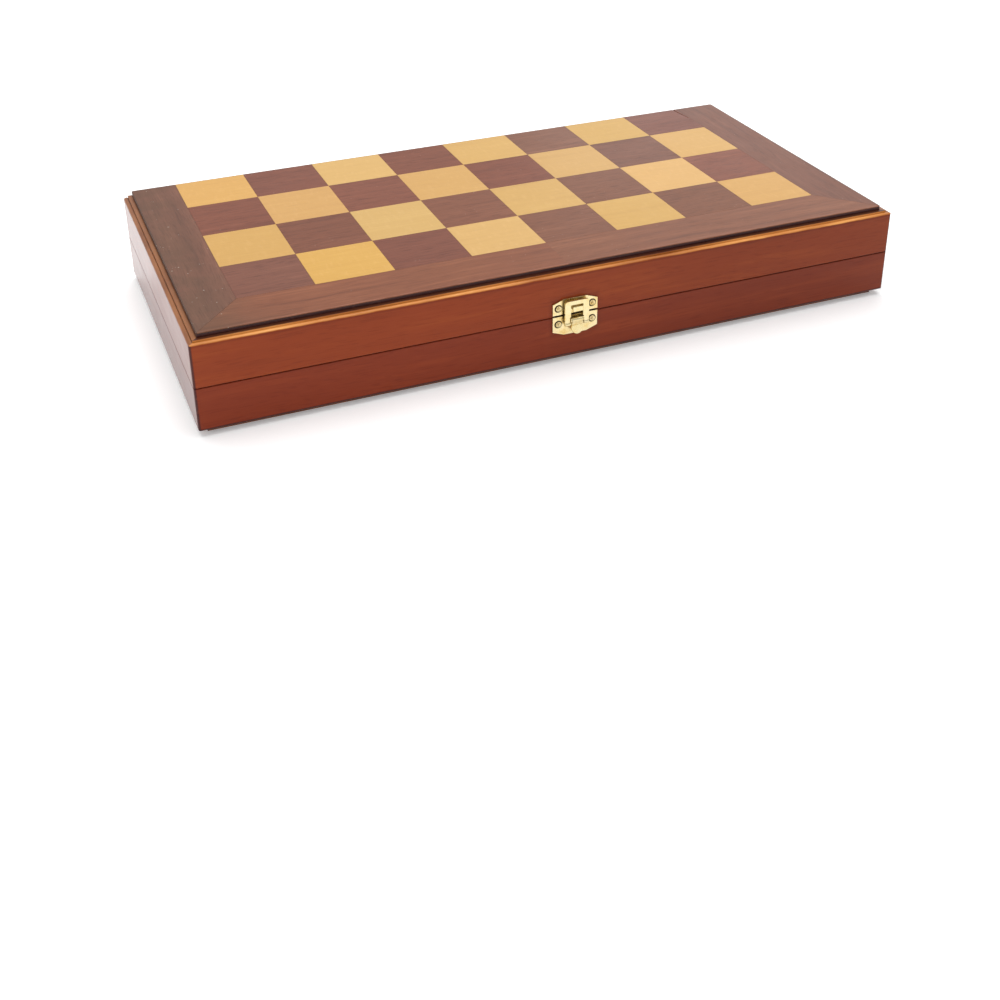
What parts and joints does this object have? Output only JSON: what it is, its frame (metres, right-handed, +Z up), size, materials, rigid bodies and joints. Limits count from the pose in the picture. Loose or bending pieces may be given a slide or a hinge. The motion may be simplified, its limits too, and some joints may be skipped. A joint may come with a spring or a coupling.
{
  "type": "folding chess box",
  "caption": "Shallow hinged wooden case for storing chess pieces that unfolds into a chequered board, with felt-lined trays and a small brass toggle catch at the front.",
  "frame": {"origin": "middle of the footprint of the shut box, on the underside of the lower half of the board; the footprint includes the catch in front and the hinge knuckles behind", "axes": "+X along the length, -Y towards the catch, +Y towards the hinges, +Z up out of the lid's half of the board"},
  "size_m": [0.393, 0.2002, 0.054],
  "materials": {
    "wall_wood": "red-brown stained wood under a satin lacquer, grain along each wall",
    "board_core": "dark stained edge of the board core",
    "light_veneer": "golden tan veneer, fine grain, satin lacquer",
    "dark_veneer": "brown veneer, fine grain, satin lacquer",
    "border_veneer": "brown veneer, mitred at the front corners, satin lacquer",
    "felt": "short-napped felt",
    "hinge_brass": "satin brass",
    "catch_brass": "bright stamped brass",
    "screw_brass": "bright brass, cross recess"
  },
  "bodies": {
    "base": {"base_front_wall": "wall_wood", "base_rear_wall": "wall_wood", "base_left_wall": "wall_wood", "base_right_wall": "wall_wood", "base_panel": "board_core", "base_light_squares": "light_veneer", "base_dark_squares": "dark_veneer", "base_front_border": "border_veneer", "base_left_border": "border_veneer", "base_right_border": "border_veneer", "base_felt_lining": "felt", "hinge_left_base_leaf": "hinge_brass", "hinge_left_pin": "hinge_brass", "hinge_right_base_leaf": "hinge_brass", "hinge_right_pin": "hinge_brass", "base_hinge_screws": "screw_brass", "catch_base_plate": "catch_brass", "catch_pivot_pin": "catch_brass", "catch_base_screws": "screw_brass"},
    "lid": {"lid_front_wall": "wall_wood", "lid_rear_wall": "wall_wood", "lid_left_wall": "wall_wood", "lid_right_wall": "wall_wood", "lid_panel": "board_core", "lid_light_squares": "light_veneer", "lid_dark_squares": "dark_veneer", "lid_front_border": "border_veneer", "lid_left_border": "border_veneer", "lid_right_border": "border_veneer", "lid_felt_lining": "felt", "hinge_left_lid_leaf": "hinge_brass", "hinge_right_lid_leaf": "hinge_brass", "lid_hinge_screws": "screw_brass", "catch_hook_plate": "catch_brass", "catch_hook_screws": "screw_brass"},
    "lever": {"catch_lever": "catch_brass", "catch_loop_pin": "catch_brass"},
    "loop": {"catch_loop": "catch_brass"}
  },
  "joints": [
    {"name": "lid_hinge", "type": "hinge", "parent": "base", "child": "lid", "pos_m": [0, 0.09793, 0.027], "axis": [-1, 0, 0], "range_deg": [0, 180]},
    {"name": "catch_lever_lift", "type": "hinge", "parent": "base", "child": "lever", "pos_m": [0.0017, -0.09874, 0.0254], "axis": [-1, 0, 0], "range_deg": [0, 100]},
    {"name": "catch_loop_swing", "type": "hinge", "parent": "lever", "child": "loop", "pos_m": [0.0017, -0.09843, 0.0232], "axis": [1, 0, 0], "range_deg": [0, 268]}
  ],
  "couplings": [
    {"joint": "catch_loop_swing", "follows": "catch_lever_lift", "ratio": 2.68}
  ]
}
